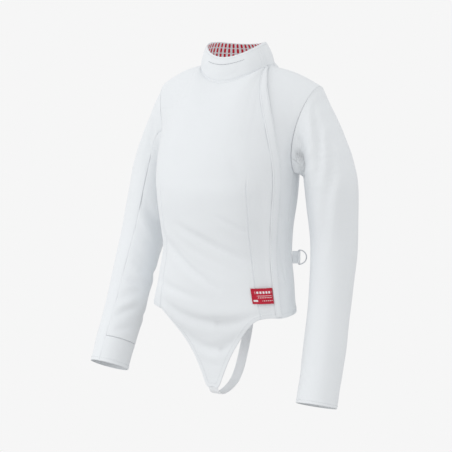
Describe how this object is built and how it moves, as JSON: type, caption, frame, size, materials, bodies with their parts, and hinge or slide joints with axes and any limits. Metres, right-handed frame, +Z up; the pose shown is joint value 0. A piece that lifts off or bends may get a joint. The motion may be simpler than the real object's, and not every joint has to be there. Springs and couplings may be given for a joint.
{
  "type": "fencing jacket",
  "caption": "Long-sleeved fencing jacket with a stand collar, a side-front closure flap, a pointed front tongue, a crotch strap and a D-ring, shaped as worn and hollow.",
  "frame": {"origin": "middle of the neck opening at the height of the side-neck seam, where the wearer's neck and shoulders hold the jacket", "axes": "+Z up, the jacket's front faces -Y, the wearer's left is +X"},
  "size_m": [0.5268, 0.2634, 0.7105],
  "materials": {
    "white_cloth": "matt close-knit stretch cloth",
    "collar_lining": "white knit with rows of short red dashes",
    "red_label": "woven label",
    "white_webbing": "ribbed elastic and webbing",
    "ring_metal": "nickel-plated wire"
  },
  "bodies": {
    "jacket": {"front_main": "white_cloth", "front_left": "white_cloth", "back": "white_cloth", "sleeve_right_outer": "white_cloth", "sleeve_right_inner": "white_cloth", "cuff_right": "white_cloth", "sleeve_left_outer": "white_cloth", "sleeve_left_inner": "white_cloth", "cuff_left": "white_cloth", "collar": "white_cloth", "collar_lining": "collar_lining", "placket_flap": "white_cloth", "hem_label": "red_label", "crotch_strap": "white_webbing", "ring_tab": "white_webbing"},
    "ring": {"d_ring": "ring_metal"}
  },
  "joints": [
    {"name": "ring_swing", "type": "hinge", "parent": "jacket", "child": "ring", "pos_m": [0.13029, 0.02019, -0.38], "axis": [0, 0, 1], "range_deg": [-85, 85]}
  ]
}
